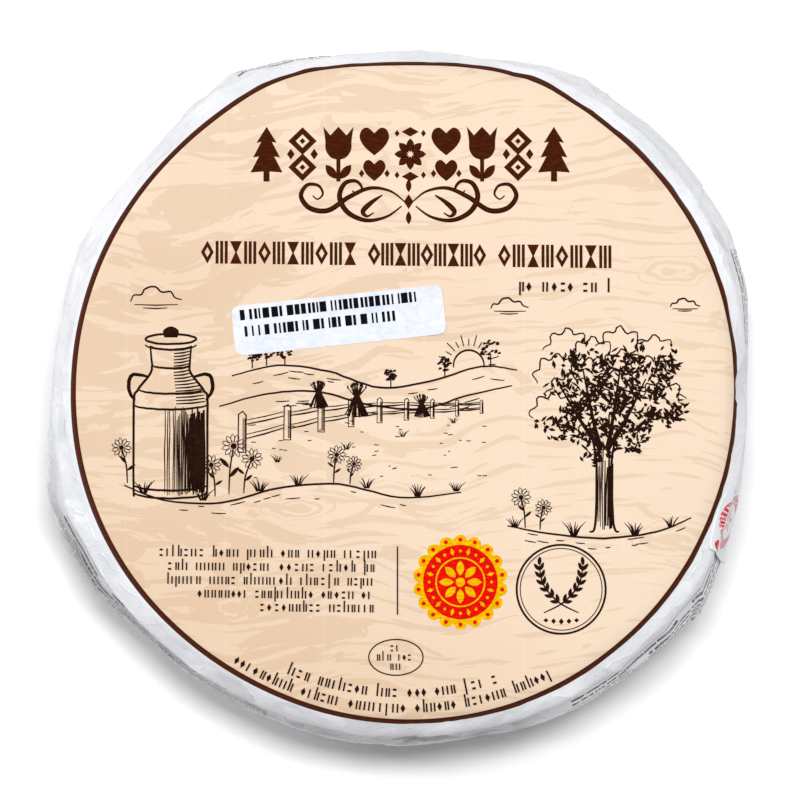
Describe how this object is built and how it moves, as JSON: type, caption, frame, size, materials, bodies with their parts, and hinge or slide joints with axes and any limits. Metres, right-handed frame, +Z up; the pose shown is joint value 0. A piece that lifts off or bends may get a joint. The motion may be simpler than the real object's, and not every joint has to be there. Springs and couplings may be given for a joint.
{
  "type": "wrapped wheel of soft cheese",
  "caption": "Flat round wheel of soft cheese shut in creased white paper, with a printed round face, a small slip stuck on the face and a small sticker bent over the rim.",
  "frame": {"origin": "middle of the flat base, on the surface that the wheel lies on", "axes": "+Z up through the wheel, from the base to the printed face; +Y towards the top edge of the print; +X towards the print's right"},
  "size_m": [0.1397, 0.1388, 0.0355],
  "materials": {
    "wrapper": "white waxed paper, slightly glossy and creased, with a round field of pale peach wood grain inside a dark brown ring on the face",
    "face_sticker": "smooth pale blue-white label paper with rows of plain black bars",
    "rim_sticker": "smooth white label paper with a plain red ring of ticks"
  },
  "bodies": {
    "root": {"wrapped_wheel": "wrapper", "face_sticker": "face_sticker", "rim_sticker": "rim_sticker"}
  },
  "joints": []
}
